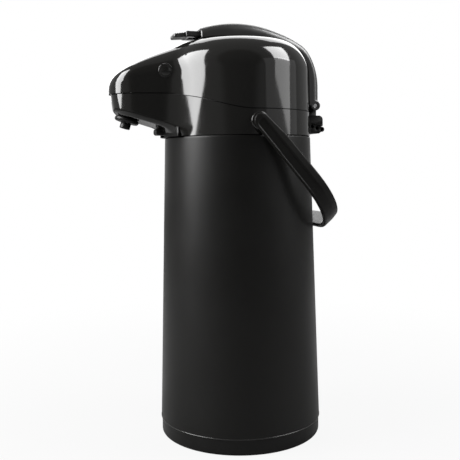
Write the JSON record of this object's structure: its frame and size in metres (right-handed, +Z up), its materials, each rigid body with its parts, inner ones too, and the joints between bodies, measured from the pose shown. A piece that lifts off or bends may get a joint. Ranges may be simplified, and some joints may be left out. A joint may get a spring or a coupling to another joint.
{
  "type": "lever airpot",
  "caption": "Insulated drinks airpot with a hinged pump lid, a press-down lever, a beaked spout with a nozzle underneath and a swinging carrying bail.",
  "frame": {"origin": "centre of the foot's underside, on the jug's axis", "axes": "+Z up along the jug's axis; the spout points along -X and the hinge is at +X; +Y completes the right hand"},
  "size_m": [0.2067, 0.1506, 0.3808],
  "materials": {
    "gloss_black": "gloss",
    "matte_black": "matte",
    "shell_paint": "matte powder coat",
    "inner_steel": "brushed",
    "pin_steel": "polished",
    "screw_steel": "zinc plated",
    "seal_rubber": "matte",
    "cup_rubber": "matte",
    "inner_plastic": "satin"
  },
  "bodies": {
    "jug": {"foot_ring": "matte_black", "base_plate": "matte_black", "base_screws": "screw_steel", "liner_cup": "cup_rubber", "outer_shell": "shell_paint", "liner_outer": "inner_steel", "liner_inner": "inner_steel", "neck_seal": "seal_rubber", "collar": "gloss_black", "siphon_tube": "inner_plastic", "stop_valve": "inner_plastic", "tube_elbow": "inner_plastic", "elbow_grommet": "seal_rubber", "spout_pipe": "inner_plastic", "nozzle_base": "matte_black", "nozzle_tip": "matte_black", "latch_guard": "matte_black", "hinge_bracket": "matte_black", "bracket_screws": "screw_steel", "hinge_pin": "pin_steel"},
    "lid": {"lid_cover": "gloss_black", "side_plugs": "gloss_black", "lid_plate": "inner_plastic", "lid_screws": "screw_steel", "lid_gasket": "seal_rubber", "check_valve": "seal_rubber", "lid_hook": "matte_black", "bellows": "seal_rubber", "return_spring": "pin_steel", "plunger_guide": "matte_black", "lock_catch": "matte_black"},
    "lever": {"lever_arm": "matte_black"},
    "lock": {"lever_lock": "matte_black"},
    "plunger": {"pump_plunger": "inner_plastic"},
    "latch": {"latch_button": "matte_black"},
    "bail": {"handle": "matte_black"},
    "release": {"release_tab": "matte_black"},
    "ball": {"stop_ball": "pin_steel"}
  },
  "joints": [
    {"name": "lid_hinge", "type": "hinge", "parent": "jug", "child": "lid", "pos_m": [0.0722, 0, 0.3053], "axis": [0, 1, 0], "range_deg": [0, 75]},
    {"name": "lever_hinge", "type": "hinge", "parent": "lid", "child": "lever", "pos_m": [0.0722, 0, 0.3053], "axis": [0, 1, 0], "range_deg": [0, 24]},
    {"name": "plunger_slide", "type": "slide", "parent": "lid", "child": "plunger", "axis": [0, 0, 1], "range_m": [0, 0.0302], "deforming": ["bellows", "return_spring"]},
    {"name": "lock_slide", "type": "slide", "parent": "lever", "child": "lock", "axis": [1, 0, 0], "range_m": [0, 0.004]},
    {"name": "latch_slide", "type": "slide", "parent": "jug", "child": "latch", "axis": [1, 0, 0], "range_m": [0, 0.004], "stiffness_N_per_m": 500, "springref_m": -0.003},
    {"name": "release_slide", "type": "slide", "parent": "jug", "child": "release", "axis": [0.9681, 0, -0.2504], "range_m": [0, 0.003], "stiffness_N_per_m": 500, "springref_m": -0.003},
    {"name": "bail_swing", "type": "hinge", "parent": "jug", "child": "bail", "pos_m": [0, 0, 0.2875], "axis": [0, -1, 0], "range_deg": [0, 160]},
    {"name": "ball_lift", "type": "slide", "parent": "jug", "child": "ball", "axis": [0, 0, 1], "range_m": [0, 0.004]}
  ],
  "couplings": [
    {"joint": "plunger_slide", "follows": "lever_hinge", "m_per_rad": 0.072}
  ]
}
